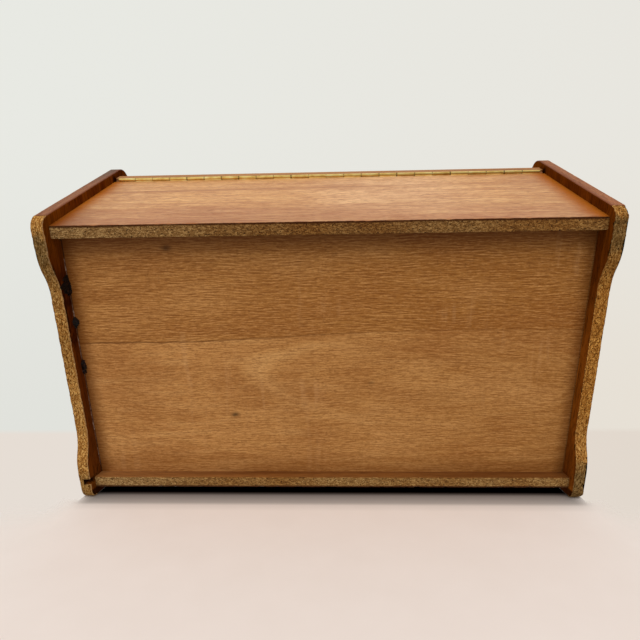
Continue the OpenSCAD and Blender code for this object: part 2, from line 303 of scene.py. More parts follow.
def chipboard(add, strip):
    """Tone from 0 to 1 of bare chipboard on a place whose X runs along the edge and Y across it: pressed
    flakes, fine dust over them, and dark hollows in between."""
    bend = add("TexNoise", {"Vector": strip, "Scale": 700.0, "Detail": 2.0}, out="Color")
    bend = add("VectorMath", {0: bend, 1: (0.0005, 0.0005, 0.0005)}, operation="MULTIPLY")
    place = add("VectorMath", {0: strip, 1: bend}, operation="ADD")
    at = add("Mapping", {"Vector": place, "Scale": (540.0, 1350.0, 540.0)})
    flake = add("TexVoronoi", {"Vector": at, "Scale": 1.0, "Randomness": 1.0}, out="Color")
    flake = add("SeparateColor", {"Color": flake})
    fine = spots(add, place, (1500.0, 2400.0, 1500.0), 2.0, 0.7)
    hollow = spots(add, place, (640.0, 900.0, 640.0), 2.0, 0.55)
    tone = wavered(add, maths(add, "MULTIPLY_ADD", flake, 0.42, 0.27), fine, 0.25)
    return times(add, tone, span(add, hollow, 0.58, 0.68, 1.0, 0.10))


def chip_colours(add, chips, hollow, dark, middle, pale):
    """Bare chipboard's colours by its tone, from the hollows to the palest flakes."""
    return ramp(add, chips, (0.0, *hollow), (0.25, *dark), (0.50, *middle), (0.85, *pale))


def surfaced(made, add, colour, roughness, height, depth, gloss=0.5, metal=0.0):
    """Ends a finish: colour, roughness, gloss, and a bump of that depth from a height of 0 to 1."""
    normal = add("Bump", {"Strength": 1.0, "Distance": depth, "Height": height})
    look = {"Base Color": colour, "Roughness": roughness, "Specular IOR Level": gloss, "Metallic": metal}
    add("OutputMaterial", {"Surface": add("BsdfPrincipled", {**look, "Normal": normal})})
    return made


def end_panel_finish():
    """Stained veneer with the grain from front to back, darker inside, with painted light on stretches of
    the inner faces, smeared with glue along one end, and with painted shade in the crevices by the hinge
    and before the front panel. Bare chips where the edge is raw: golden, ruddier at one end, with a dark
    stretch at the other, dirty beside the back feet and at the front ones, pale along the inner arris, and
    with painted shade where the groove runs out through a foot."""
    made, add, place = finish_named("end_panel_board")
    x, y, z = axes_of(add, place)
    left, right = by_end(add, x, 1.0, 0.0), by_end(add, x, 0.0, 1.0)
    turned = add("Mapping", {"Vector": place, "Rotation": (0.0, 0.0, np.pi / 2)})
    streaks, fibres, pores = grain(add, turned, 18.0, 1.6)
    outside = ramp(add, streaks, (0.30, 112, 60, 30), (0.50, 144, 84, 46), (0.70, 166, 104, 62))
    inside = ramp(add, streaks, (0.30, 72, 26, 3), (0.50, 102, 46, 5), (0.70, 130, 68, 14))
    inside = laid(add, inside, (y, 0.03, -0.10, 0.45, 128, 72, 24))
    # Painted light: paler stretches of the inner faces where light falls on them.
    painted_light = times(add, left, span(add, y, 0.095, 0.0, 0.0, 0.85), span(add, y, -0.04, -0.09, 1.0, 0.35))
    inside = mix(add, painted_light, inside, rgb(164, 93, 26))
    painted_light = times(add, most(add, span(add, z, 0.045, 0.030), left), span(add, y, 0.080, 0.105, 0.0, 0.30))
    inside = mix(add, painted_light, inside, rgb(142, 76, 12))
    smear = span(add, spots(add, place, (60.0, 60.0, 160.0), 3.0), 0.38, 0.56, 0.0, 0.85)
    smear = times(add, smear, right, span(add, z, 0.030, 0.024))
    smear = times(add, smear, span(add, y, 0.010, 0.022), span(add, y, 0.092, 0.072))
    inside = mix(add, smear, inside, rgb(34, 7, 2))
    # Painted shade: the inner faces are darkened low down in the crevice before the front panel and round
    # the hinge's end.
    painted_crevice_shade = maths(add, "MULTIPLY_ADD", z, LEAN, outer_y(0.0) / 1000)
    painted_crevice_shade = span(add, plus(add, y, painted_crevice_shade), 0.001, -0.001)
    painted_crevice_shade = times(add, painted_crevice_shade, span(add, z, 0.03, 0.09, 0.92, 0.0))
    hinge_end = distance(add, place, HINGE, (0.0, 1.0, 1.0))
    painted_crevice_shade = most(add, painted_crevice_shade, span(add, hinge_end, 0.002, 0.006, 0.9, 0.0))
    inside = mix(add, painted_crevice_shade, inside, rgb(22, 7, 1))
    veneer = mix(add, mark(add, "outside"), inside, outside)
    veneer = laid(add, veneer, (fibres, 0.40, 0.68, 0.5, 60, 24, 4), (pores, 0.0, 1.0, 0.5, 40, 16, 3))
    strip = mark(add, "strip", "Vector")
    chips = chipboard(add, strip)
    golden = chip_colours(add, chips, (32, 15, 4), (123, 77, 30), (177, 120, 57), (238, 191, 115))
    ruddy = times(add, left, span(add, y, 0.125, 0.105), span(add, y, -0.080, -0.045, 0.25, 1.0))
    golden = mix(add, ruddy, golden, (1.0, 0.87, 0.64, 1.0), "MULTIPLY")
    shaded = times(add, right, span(add, apart(add, y, 0.017), 0.008, 0.028, 0.55, 0.0))
    golden = mix(add, shaded, golden, (0.58, 0.54, 0.46, 1.0), "MULTIPLY")
    dirty = chip_colours(add, chips, (22, 13, 5), (84, 58, 27), (118, 86, 46), (166, 134, 86))
    patchy = wavered(add, y, spots(add, place, (60.0, 60.0, 60.0), 2.0), 0.007)
    patchy = plus(add, patchy, by_end(add, x, -0.005, 0.003))
    by_back = ramp(add, span(add, patchy, 0.040, 0.130), (0.0, 0.0), (0.50, 0.45),
                   (0.62, 0.95), (0.80, 0.95), (0.86, 0.0))
    by_back = most(add, by_back, by_end(add, x, 0.12, 0.0))
    by_front = times(add, span(add, patchy, -0.090, -0.104), by_end(add, x, 1.0, 0.5))
    bare = mix(add, most(add, by_back, by_front), golden, dirty)
    across = axes_of(add, strip)[1]
    lip = times(add, span(add, across, 0.0004, 0.0013, 0.5, 0.0), by_end(add, x, 0.15, 1.0))
    bare = mix(add, lip, bare, rgb(178, 136, 92))
    bare = laid(add, bare, (across, 0.0090, 0.0098, 0.2, 70, 48, 22))
    ragged = plus(add, mark(add, "raw"), span(add, chips, 0.0, 1.0, 0.22, -0.22))
    ragged = span(add, ragged, 0.40, 0.60)
    colour = mix(add, ragged, veneer, bare)
    # Painted shade: the groove is darkened where it runs out through a front foot.
    colour = laid(add, colour, (mark(add, "slot"), 0.2, 1.0, 0.9, 16, 6, 1))
    rough = span(add, ragged, 0.0, 1.0, 0.50, 0.92)
    height = plus(add, times(add, chips, ragged), times(add, pores, -0.10))
    return surfaced(made, add, colour, rough, height, 0.0006, gloss=0.0)


def end_outline():
    """An end panel's outline from the middle of the arch round by the back to the middle again, and a mark
    that is 1 where the edge is bare: flat arch, two arcs down to the foot, foot, round corner, then the
    banded edge, set in by the band's thickness, up the side, round the top corner and along the top."""
    foot = end_y(0.0) - FOOT
    bend = (ARCH_RUN**2 + ARCH_HIGH**2) / (4 * ARCH_HIGH)
    turn = np.degrees(np.arcsin(ARCH_RUN / (2 * bend)))
    heel, crown = corner(HEEL, HEEL), corner(CROWN, END_HIGH - CROWN)
    bare = even(np.concatenate([
        [[0.0, ARCH_HIGH]], arc([foot - ARCH_RUN, ARCH_HIGH - bend], bend, 90, 90 - turn),
        arc([foot, bend], bend, 270 - turn, 270), arc(heel, HEEL, -90, -LEAN_DEGREES),
    ]), 0.5)
    banded = even(np.concatenate([
        arc(heel, HEEL - BAND, -LEAN_DEGREES, 90)[:1], arc(crown, CROWN - BAND, -LEAN_DEGREES, 90),
        [[0.0, END_HIGH - BAND]],
    ]), 4.0)
    half = np.concatenate([bare, banded])
    mark_half = np.concatenate([np.ones(len(bare)), np.zeros(len(banded))])
    other = half[-2:0:-1] * [-1, 1]
    return np.concatenate([half, other]), np.concatenate([mark_half, mark_half[-2:0:-1]])


def end_panel(name, side, seed, knocks, groove_runs_out):
    """Rings of the outline, shrunk towards the middle on each face and full size across the edge, with
    rounded arrises. The bare edge is pushed in by fine noise, pits, chipped arrises and some larger knocks.
    Where a groove runs out, the edge is pushed back to its depth."""
    ring, bare = end_outline()
    normal = outward(ring)
    middle = np.array([0.0, END_HIGH / 2])
    shrink = np.array([0, 0.3, 0.55, 0.72, 0.82, 0.88, 0.92, 0.945, 0.965, 0.98, 0.99])
    wall = np.arange(2 * ARRIS, BOARD - 1.8 * ARRIS, ARRIS)
    set_in = np.array([ARRIS, 0.13, 0])
    depth = np.concatenate([0 * shrink, set_in[::-1], wall, BOARD - set_in, 0 * shrink + BOARD])
    inset = np.concatenate([0 * shrink, set_in, 0 * wall, set_in[::-1], 0 * shrink])
    scale = np.concatenate([shrink, np.ones(len(wall) + 2 * len(set_in)), shrink[::-1]])
    edge = (scale == 1)[:, None] * bare
    flat = np.zeros((len(depth), len(ring), 3))
    flat[..., 0] = depth[:, None]
    flat[..., 1:] = middle + scale[:, None, None] * (ring - middle)
    arris = np.exp(-depth / 0.8) + np.exp((depth - BOARD) / 0.8)
    worn = 0.14 * (2 * noise(flat, 1.1, seed) - 1) + 0.5 * over(noise(flat, 2.4, seed + 1), 0.62)
    worn += arris[:, None] * 1.5 * over(noise(flat, 6.0, seed + 2), 0.52)
    for y, reach, deep in knocks:
        near = np.exp(-((flat[..., 1] - y) / reach) ** 4) * np.exp((flat[..., 0] - BOARD) / 2.5)
        worn += near * deep * (0.5 + noise(flat, 1.8, seed + 3))
    flat[..., 1:] -= (inset[:, None] + edge * np.clip(worn, -0.2, 3.0))[..., None] * normal
    groove_in, groove_half, groove_deep, groove_top = 0.85 * ACROSS, 0.26 * ACROSS, 6.0, 14.0
    off = np.abs(flat[..., 1] + outer_y(flat[..., 2]) - groove_in)
    slot = groove_runs_out & (off < groove_half) & (flat[..., 0] < groove_deep)
    slot = slot & (flat[..., 2] < groove_top)
    flat[..., 0] = np.where(slot, groove_deep, flat[..., 0])
    run = run_along(ring) + 900 * (side + 1)
    strip = np.stack(np.broadcast_arrays(run, depth[:, None], 0.0), -1) / 1000
    rim = np.where(inset == ARRIS, 0.0, 1.0)[:, None]
    marks = {
        "raw": edge * np.clip(rim + worn * (1 - rim), 0, 1),
        "outside": (depth > BOARD / 2)[:, None] + 0 * edge,
        "strip": strip,
        "slot": slot.astype(float),
    }
    flat[..., 0] = side * (INNER_X + flat[..., 0])
    return surface(name + "_board", flat, "carcass", end_board, [name], marks)


end_board = end_panel_finish()
# Each knock is its place from front to back, its reach and its depth.
at_back = [(125, 3, 1.9), (113, 5, 1.5), (97, 7, 1.7), (20, 5, 0.7)]
at_front = [(-95, 4, 2.4), (-104, 6, 1.8), (-114, 3, 2.0)]
end_panel("left_end_panel", -1, 11, at_back + at_front, False)
end_panel("right_end_panel", 1, 47, [(99, 4, 0.7), (-40, 4, 0.5)], True)

# Edge bands: strips of veneer glued round the back, top and front edges of the end panels.
# They are pinkish brown with the grain along the strip, paler along the outer arris, and darkened by
# painted shade along the inner arris at the back and at the front toe.


def band_finish():
    """Veneer with the grain along the strip, paler at the outer arris and with painted shade at the inner
    one.
    In front the toe has painted shade instead. Browner at one end of the box, and greyed round its back
    corner."""
    made, add, place = finish_named("edge_veneer")
    x, y, z = axes_of(add, place)
    strip = mark(add, "strip", "Vector")
    streaks, fibres, pores = grain(add, strip, 14.0, 1.3, 0.2)
    colour = ramp(add, streaks, (0.28, 122, 68, 38), (0.50, 158, 99, 62), (0.72, 184, 126, 88))
    colour = mix(add, by_end(add, x, 0.0, 0.42), colour, rgb(92, 44, 14))
    greyed = times(add, span(add, z, 0.095, 0.145, 0.0, 0.8), span(add, y, 0.08, 0.13))
    colour = mix(add, times(add, greyed, by_end(add, x, 0.0, 1.0)), colour, rgb(92, 74, 62))
    colour = laid(add, colour, (fibres, 0.42, 0.68, 0.55, 86, 42, 22), (pores, 0.0, 1.0, 0.45, 58, 28, 14))
    across = wavered(add, axes_of(add, strip)[1], fibres, 0.0003)
    behind = span(add, y, -0.12, 0.0)
    # Painted shade along the inner arris of the band, at the back.
    painted_arris_shade = span(add, across, 0.0008, 0.0024, 0.75, 0.0)
    colour = mix(add, times(add, painted_arris_shade, behind), colour, rgb(112, 54, 18))
    paler_arris = span(add, across, 0.0093, 0.0100, 0.0, 0.5)
    colour = mix(add, times(add, paler_arris, behind), colour, rgb(200, 154, 116))
    # Painted shade: the lowest end of the front strips is darkened where the lying box rests on the table.
    painted_toe_shade = times(add, span(add, across, 0.0005, 0.0015, 1.0, 0.0), span(add, z, 0.060, 0.035))
    painted_toe_shade = most(add, painted_toe_shade, span(add, z, 0.030, 0.006, 0.0, 0.75))
    painted_toe_shade = times(add, painted_toe_shade, span(add, y, -0.10, -0.11))
    colour = mix(add, painted_toe_shade, colour, rgb(20, 6, 1))
    return surfaced(made, add, colour, 0.5, maths(add, "SUBTRACT", fibres, pores), 0.00015, gloss=0.08)


def edge_band(name, side):
    """A flat profile with two rounded and slightly dented arrises, carried along the banded edge."""
    low_end = arc(corner(HEEL, HEEL), HEEL, -LEAN_DEGREES, 90)[:1]
    half = np.concatenate([low_end, arc(corner(CROWN, END_HIGH - CROWN), CROWN, -LEAN_DEGREES, 90)])
    path = even(np.concatenate([half, half[::-1] * [-1, 1]]), 1.6)
    normal = square_to(np.gradient(path, axis=0))
    profile = np.array([
        [0, -BAND], [0, -0.3], [0.09, -0.09], [0.3, 0], [1.2, 0], [3, 0], [5, 0], [7, 0], [8.8, 0],
        [9.7, 0], [9.91, -0.09], [BOARD, -0.3], [BOARD, -BAND], [7, -BAND], [5, -BAND], [3, -BAND],
    ])
    path = np.concatenate([path[:1], path, path[-1:]])
    normal = np.concatenate([normal[:1], normal, normal[-1:]])
    flat = np.zeros((len(path), len(profile), 3))
    flat[..., 0] = profile[:, 0]
    flat[..., 1:] = path[:, None] + profile[:, 1, None] * normal[:, None]
    arris = np.exp(-np.minimum(profile[:, 0], BOARD - profile[:, 0]) / 0.35) * (profile[:, 1] > -0.5)
    dent = arris * 0.25 * over(noise(flat, 5.0, 70 + side), 0.55)
    flat[..., 1:] -= dent[..., None] * normal[:, None]
    run = run_along(path)[:, None] + 800 * (side + 1)
    strip = np.stack(np.broadcast_arrays(run, profile[:, 0], 0.0), -1) / 1000
    flat[..., 0] = side * (INNER_X + flat[..., 0])
    return surface(name + "_strip", flat, "carcass", edge_veneer, [name], {"strip": strip})


edge_veneer = band_finish()
edge_band("left_edge_band", -1)
edge_band("right_edge_band", 1)

# Back and front panels: leaning boards of veneered chipboard, tongued into the end panels.
# They are pale tan outside and brown inside, and their bottom edges are bare chips.


def leaning_finish():
    """Pale lacquered veneer with the grain along the box in long lines and short flecks: palest in the
    middle with a painted sheen, pinker below, darker in a patch low down near the middle, with one dark
    growth line, painted shade near the end panels and low beside one of them, and a painted golden
    reflection of the end panels in the corners beside them; browner inside. Below, bare chips, duller at
    the back and paler at one end, with a dark line of veneer along the outer arris."""
    made, add, place = finish_named("leaning_board")
    x, y, z = axes_of(add, place)
    beside = apart(add, x, 0.0)
    streaks, fibres, pores = grain(add, place, 12.0, 1.35, 0.1)
    lines = spots(add, place, (16.0, 420.0, 420.0), 2.0, 0.6)
    flecks = spots(add, place, (110.0, 480.0, 480.0), 1.0, 0.6)
    cloud = spots(add, place, (7.0, 16.0, 16.0), 2.0, 0.5, 0.4)
    veneer = ramp(add, streaks, (0.28, 190, 132, 78), (0.50, 209, 153, 94), (0.72, 222, 171, 112))
    # Painted sheen: the veneer is palest round the middle, where the lacquer catches the light.
    veneer = laid(add, veneer, (apart(add, x, -0.058), 0.10, 0.02, 0.50, 242, 200, 158), soft=True)
    height = wavered(add, z, streaks, 0.016)
    veneer = laid(add, veneer, (height, 0.066, 0.010, 0.85, 180, 119, 80), soft=True)
    # Of these layers, the darker one near the end panels is painted shade; the others are grain and tone.
    veneer = laid(
        add, veneer, (cloud, 0.46, 0.66, 0.45, 174, 116, 74), (cloud, 0.46, 0.30, 0.40, 232, 182, 124),
        (beside, 0.13, 0.205, 0.42, 152, 97, 60), (lines, 0.50, 0.66, 0.42, 158, 98, 56),
        (lines, 0.50, 0.34, 0.37, 234, 188, 132), (flecks, 0.50, 0.66, 0.22, 154, 94, 52),
        (flecks, 0.50, 0.34, 0.18, 236, 190, 134), (fibres, 0.44, 0.66, 0.5, 160, 100, 56),
        (fibres, 0.44, 0.30, 0.3, 232, 184, 128),
    )
    growth = apart(add, z, span(add, x, -0.2, 0.2, 0.107, 0.099))
    growth = span(add, wavered(add, growth, fibres, 0.0008), 0.0012, 0.0035, 1.0, 0.0)
    growth = times(add, growth, span(add, x, -0.1, 0.15, 0.30, 0.62))
    veneer = mix(add, growth, veneer, rgb(150, 90, 48))
    # Painted reflection: the end panels' inner faces glow golden in the lacquer in the corners beside them.
    painted_corner_reflection = plus(add, wavered(add, beside, streaks, 0.003), by_end(add, x, 0.004, 0.0))
    veneer = laid(add, veneer, (painted_corner_reflection, 0.196, 0.214, 0.92, 164, 88, 4), soft=True)
    veneer = laid(add, veneer, (pores, 0.0, 1.0, 0.55, 118, 64, 28))
    # Painted shade low beside one end panel, then a darker pink-brown patch low down near the middle.
    painted_shade_and_dark_patch = times(add, span(add, x, 0.180, 0.213, 0.1, 0.7), span(add, z, 0.070, 0.015))
    veneer = mix(add, painted_shade_and_dark_patch, veneer, rgb(96, 44, 6))
    painted_shade_and_dark_patch = span(add, apart(add, x, 0.050), 0.03, 0.11, 0.35, 0.0, soft=True)
    veneer = mix(add, times(add, painted_shade_and_dark_patch, span(add, z, 0.055, 0.015)), veneer, rgb(146, 90, 52))
    inside = ramp(add, streaks, (0.3, 106, 61, 25), (0.7, 146, 95, 47))
    inside = laid(
        add, inside, (x, 0.06, 0.20, 0.45, 164, 114, 66), (x, 0.09, -0.09, 0.3, 72, 34, 8),
        (fibres, 0.44, 0.68, 0.5, 76, 38, 12),
    )
    veneer = mix(add, mark(add, "outside"), inside, veneer)
    strip = mark(add, "strip", "Vector")
    chips = chipboard(add, strip)
    bare = chip_colours(add, chips, (34, 19, 7), (110, 73, 32), (150, 107, 56), (204, 164, 104))
    brown = chip_colours(add, chips, (28, 14, 3), (98, 58, 20), (136, 89, 37), (190, 142, 78))
    bleached = chip_colours(add, chips, (38, 22, 10), (112, 78, 40), (150, 110, 62), (214, 176, 118))
    browner = span(add, spots(add, place, (12.0, 12.0, 12.0), 2.0), 0.42, 0.58)
    bare = mix(add, browner, bare, brown)
    bare = mix(add, span(add, x, 0.08, 0.19), bare, bleached)
    dull = times(add, span(add, y, -0.05, 0.05), span(add, beside, 0.08, 0.20, 1.0, 0.25))
    bare = mix(add, dull, bare, (0.79, 0.74, 0.69, 1.0), "MULTIPLY")
    veneer_edge = plus(add, axes_of(add, strip)[1], span(add, browner, 0.0, 1.0, -0.0004, 0.0))
    bare = laid(add, bare, (veneer_edge, 0.0079, 0.0090, 0.92, 64, 26, 1))
    ragged = plus(add, mark(add, "raw"), span(add, chips, 0.0, 1.0, 0.2, -0.2))
    ragged = span(add, ragged, 0.40, 0.60)
    colour = mix(add, ragged, veneer, bare)
    rough = span(add, ragged, 0.0, 1.0, 0.42, 0.92)
    height = plus(add, times(add, chips, ragged), times(add, pores, -0.08))
    return surfaced(made, add, colour, rough, height, 0.0006, gloss=0.2)


def board_ring(corners, r, steps):
    """A closed ring round a board's section: each corner is cut by a small curve of reach r, and each side
    has points one of the steps apart, closer near its ends. Also which side each point is on, from 0."""
    points, sides = [], []
    for i, step in enumerate(steps):
        one, two = np.array(corners[i]), np.array(corners[(i + 1) % len(corners)])
        length = np.linalg.norm(two - one)
        way = (two - one) / length
        last = np.array(corners[(i - 1) % len(corners)])
        before = (one - last) / np.linalg.norm(one - last)
        near = [d for d in (r + 0.7, r + 2.0, r + 5.0, r + 11.0) if d < min(step, length / 3)]
        inner = np.linspace(r, length - r, max(2, int(length / step) + 1))
        at = np.unique(np.round(np.concatenate([inner, near, [length - d for d in near]]), 4))
        points.append(one + 0.29 * r * (way - before))
        points.extend(one + way * d for d in at)
        sides.extend([i] * (len(at) + 1))
    return np.array(points), np.array(sides)


def carried(ring, x):
    """A section carried along the box: the same ring at every x, the first and last doubled as caps."""
    x = np.concatenate([x[:1], x, x[-1:]])
    flat = np.zeros((len(x), len(ring), 3))
    flat[..., 0] = x[:, None]
    flat[..., 1:] = ring
    return flat


def leaning_panel(name, side, top, seed):
    """The section of a leaning board, carried along the box between the end panels. Its bottom edge is
    pushed in by fine noise, pits and chips along the arrises."""
    inner = outer_y(PANEL_Z) - ACROSS
    low = [[inner, PANEL_Z], [outer_y(PANEL_Z), PANEL_Z]]
    high = [[outer_y(top), top], [outer_y(top) - ACROSS, top]]
    ring, sides = board_ring(low + high, 0.35, [0.5, 20.0, 3.0, 20.0])
    normal = outward(ring)
    flat = carried(ring, np.arange(-INNER_X, INNER_X + 0.1, 0.7))
    flat[-1, :, 0] = INNER_X
    across = ring[:, 0] - inner
    bottom = np.clip(1 - (ring[:, 1] - PANEL_Z) / 0.9, 0, 1)
    arris = np.exp(-np.abs(across) / 0.7) + np.exp(-np.abs(across - ACROSS) / 0.7)
    worn = 0.12 * (2 * noise(flat, 1.1, seed) - 1) + 0.4 * over(noise(flat, 2.2, seed + 1), 0.62)
    worn += arris * 0.9 * over(noise(flat, 5.0, seed + 2), 0.56)
    flat[..., 1:] -= (bottom * np.clip(worn, -0.15, 1.4))[..., None] * normal
    strip = np.stack(np.broadcast_arrays(flat[:, :, 0] + 300 * seed, across, 0.0), -1) / 1000
    raw = (sides == 0) | (bottom > 0.75)
    outside = (sides == 1) | (across > BOARD / 2) & (sides != 3)
    blank = 0 * flat[..., 0]
    marks = {"raw": blank + raw, "outside": blank + outside, "strip": strip}
    flat[..., 1] *= side
    return surface(name + "_board", flat, "carcass", leaning_board, [name], marks)


leaning_board = leaning_finish()
leaning_panel("back_panel", 1, 138.4, 5)
leaning_panel("front_panel", -1, 140.2, 8)

# Bottom panel: a sheet of plywood held in grooves, unlacquered, with the grain along the box.
# Its face veneer is two sheets that meet in a wavering joint, with a few knots and rubbed marks.
BOTTOM_Z = 21.4  # height of its underside
KNOTS = ((0.1288, 0.0988, 0.0040, 0.8), (0.0828, -0.0526, 0.0036, 0.8), (-0.0388, -0.0222, 0.0026, 0.4))


def bottom_finish():
    """Two tones of plain veneer on either side of the joint, growth rings round a long oval on the paler
    sheet, wavering fibres, each a dark line beside a light one, dark pores, small knots, and faint rubs
    across the grain. Painted shadow under the back panel's edge, and painted shade along the front panel,
    along the end panels and in the narrow gaps beside them. A knot is its place, its size and its strength."""
    made, add, place = finish_named("plywood")
    x, y, _ = axes_of(add, place)
    cloud = spots(add, place, (9.0, 26.0, 9.0), 3.0, 0.5, 0.5)
    waver = span(add, spots(add, place, (9.0, 14.0, 9.0), 1.0), 0.25, 0.75, -0.002, 0.002)
    wavering = add("VectorMath", {0: place, 1: add("CombineXYZ", {"Y": waver})}, operation="ADD")
    streaks, fibres, pores = grain(add, wavering, 4.5, 0.95, 0.1)
    beside = add("VectorMath", {0: wavering, 1: (0.0, 0.0009, 0.0)}, operation="ADD")
    lines, shifted = (spots(add, at, (72.0, 900.0, 900.0), 1.0, 0.6) for at in (wavering, beside))
    lines = maths(add, "SUBTRACT", lines, shifted)
    joint_y = span(add, x, -0.090, 0.150, 0.0258, 0.0170, soft=True)
    joint = maths(add, "SUBTRACT", y, joint_y)
    joint = wavered(add, joint, spots(add, place, (40.0, 2.0, 2.0), 3.0), 0.0008)
    pale = ramp(add, streaks, (0.28, 180, 121, 64), (0.50, 198, 139, 79), (0.72, 212, 156, 95))
    pale = laid(add, pale, (x, 0.21, -0.21, 0.8, 152, 98, 41))
    dark = ramp(add, streaks, (0.28, 160, 104, 50), (0.50, 172, 115, 58), (0.72, 182, 126, 66))
    dark = laid(add, dark, (x, 0.18, -0.12, 0.8, 154, 98, 38))
    oval = wavered(add, distance(add, place, (-0.075, -0.018, 0.0), (7.4, 26.3, 0.0)), cloud, 0.10)
    rings = {"W": times(add, oval, 7.0), "Scale": 1.0, "Detail": 2.0}
    rings = add("TexNoise", rings, noise_dimensions="1D")
    pale = laid(add, pale, (rings, 0.45, 0.62, 0.30, 204, 148, 84))
    bright = times(add, span(add, apart(add, oval, 1.0), 0.02, 0.12, 0.6, 0.0), span(add, x, -0.03, 0.04))
    pale = mix(add, bright, pale, rgb(214, 160, 98))
    upper = span(add, joint, -0.0006, 0.0006)
    colour = mix(add, upper, pale, dark)
    colour = laid(
        add, colour, (cloud, 0.46, 0.66, 0.45, 144, 84, 32), (cloud, 0.46, 0.30, 0.30, 206, 150, 90),
    )
    much = span(add, upper, 0.0, 1.0, 0.65, 1.0)
    colour = mix(add, times(add, much, span(add, lines, 0.0, 0.25, 0.0, 0.60)), colour, rgb(116, 64, 22))
    colour = mix(add, times(add, much, span(add, lines, 0.0, -0.25, 0.0, 0.36)), colour, rgb(212, 154, 92))
    colour = laid(
        add, colour, (fibres, 0.47, 0.66, 0.45, 116, 66, 24), (fibres, 0.47, 0.30, 0.32, 216, 158, 98),
        (pores, 0.0, 1.0, 0.25, 86, 46, 14),
    )
    rubs = span(add, spots(add, place, (150.0, 14.0, 14.0), 2.0, 0.5), 0.56, 0.70, 0.0, 0.14)
    rubs = times(add, rubs, span(add, spots(add, place, (14.0, 18.0, 14.0), 1.0), 0.56, 0.64))
    colour = mix(add, rubs, colour, rgb(214, 164, 112))
    seam = span(add, apart(add, joint, 0.0), 0.0002, 0.0010, 1.0, 0.0)
    colour = mix(add, times(add, seam, span(add, x, -0.06, 0.16, 0.20, 0.75)), colour, rgb(92, 50, 16))
    for along, across, size, strength in KNOTS:
        gap = distance(add, place, (along, across, 0.0), (0.55, 1.0, 0.0))
        gap = wavered(add, gap, fibres, 0.0008)
        colour = laid(add, colour, (gap, size, 0.0, strength, 60, 38, 14), soft=True)
    # Painted shadow under the back panel's edge, and painted shade along the front panel.
    colour = laid(
        add, colour, (y, 0.090, 0.107, 0.60, 88, 38, 0), (y, -0.088, -0.106, 0.22, 110, 58, 8),
        soft=True,
    )
    # Painted shade along both end panels.
    shade = span(add, x, 0.200, 0.214, 0.0, 0.75, soft=True)
    shade = most(add, shade, span(add, x, -0.203, -0.214, 0.0, 0.45, soft=True))
    colour = mix(add, shade, colour, rgb(102, 50, 0))
    # Painted shade in the narrow gap along each end panel.
    shrunk = span(add, apart(add, x, 0.0), 0.2138, 0.2145, 0.0, 0.8)
    colour = mix(add, times(add, shrunk, by_end(add, x, 0.45, 1.0)), colour, rgb(34, 12, 2))
    height = maths(add, "SUBTRACT", times(add, fibres, -0.5), pores)
    return surfaced(made, add, colour, 0.72, height, 0.00012, gloss=0.15)


def dress(made, *names):
    """Gives one finish to nodes of the frame that keep their own shape."""
    for name in names:
        nodes[name].data.materials.clear()
        nodes[name].data.materials.append(made)


plywood = bottom_finish()
dress(plywood, "bottom_panel")

# Glue: hard, nearly black dabs squeezed into the corner under the bottom, along one end panel.
# A thin greyish bead of the same glue runs along the joint between them.


def glue_finish(name, stretch, colours, roughness, depth, gloss):
    """Dried glue: lumps of noise that take three colours from dark to light."""
    made, add, place = finish_named(name)
    lumps = spots(add, place, (stretch, stretch, stretch), 3.0)
    colour = ramp(add, lumps, *colours)
    return surfaced(made, add, colour, span(add, lumps, 0.3, 0.7, *roughness), lumps, depth, gloss)


def along_corner(y):
    """Places along the corner, for the noise."""
    return np.stack([y, 0 * y, 0 * y], -1)


def in_corner(name, y, reach, drop, made):
    """A quarter-oval section in the corner of the bottom and the end panel, carried along the corner: its
    reach out under the bottom is given for every place along it, and it drops that many times as far down
    the end panel. Noise makes it lumpy."""
    angle = np.radians(np.linspace(0, 90, 15))
    section = np.concatenate([[[0, 0]], np.stack([np.cos(angle), np.sin(angle)], -1)])
    flat = np.zeros((len(y), len(section), 3))
    flat[..., 1] = y[:, None]
    flat[..., 0] = section[:, 0] * reach[:, None]
    flat[..., 2] = section[:, 1] * reach[:, None] * drop
    lump = 1 + 0.9 * (noise(flat, 2.6, 90) - 0.5) + 0.7 * (noise(flat, 1.2, 91) - 0.5)
    flat[..., 0] = INNER_X - flat[..., 0] * lump
    flat[..., 2] = BOTTOM_Z - flat[..., 2] * lump
    return surface(name, flat, "carcass", made)


black = ((0.35, 5, 3, 2), (0.55, 18, 9, 6), (0.72, 62, 34, 22))
dark_glue = glue_finish("dark_glue", 500.0, black, (0.45, 0.7), 0.0005, 0.15)
# Each dab is its middle and length along the corner, its reach, how far it drops for that, and a seed.
DABS = ((69.0, 18.0, 1.7, 5.2, 1), (36.0, 10.0, 3.8, 0.8, 2), (-5.0, 14.0, 3.8, 0.7, 3))
for dab, (middle, length, out, drop, seed) in enumerate(DABS):
    along = np.linspace(-1, 1, 60)
    uneven = 0.75 + 0.5 * noise(along_corner(along * length / 2), 4.5, seed)
    reach = out * np.sqrt(np.clip(1 - along**2, 0, 1)) * uneven
    piece = in_corner("glue_dab_%d" % (dab + 1), middle + along * length / 2, reach, drop, dark_glue)
    if dab == 0:
        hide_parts("glue_dabs")
greyish = ((0.34, 66, 34, 20), (0.52, 106, 76, 60), (0.70, 146, 120, 102))
bead_y = np.linspace(92.0, -106.0, 240)
bead_at = along_corner(bead_y)
bead_reach = 0.1 + 0.8 * over(noise(bead_at, 14.0, 21), 0.25) * (0.5 + noise(bead_at, 3.0, 22))
from_end = np.arange(len(bead_y))
bead_reach *= np.clip(np.minimum(from_end, from_end[::-1]) * 0.2, 0, 1)
bead_glue = glue_finish("glue_bead", 200.0, greyish, (0.6, 0.6), 0.0003, 0.1)
in_corner("glue_bead", bead_y, bead_reach, 1.0, bead_glue)

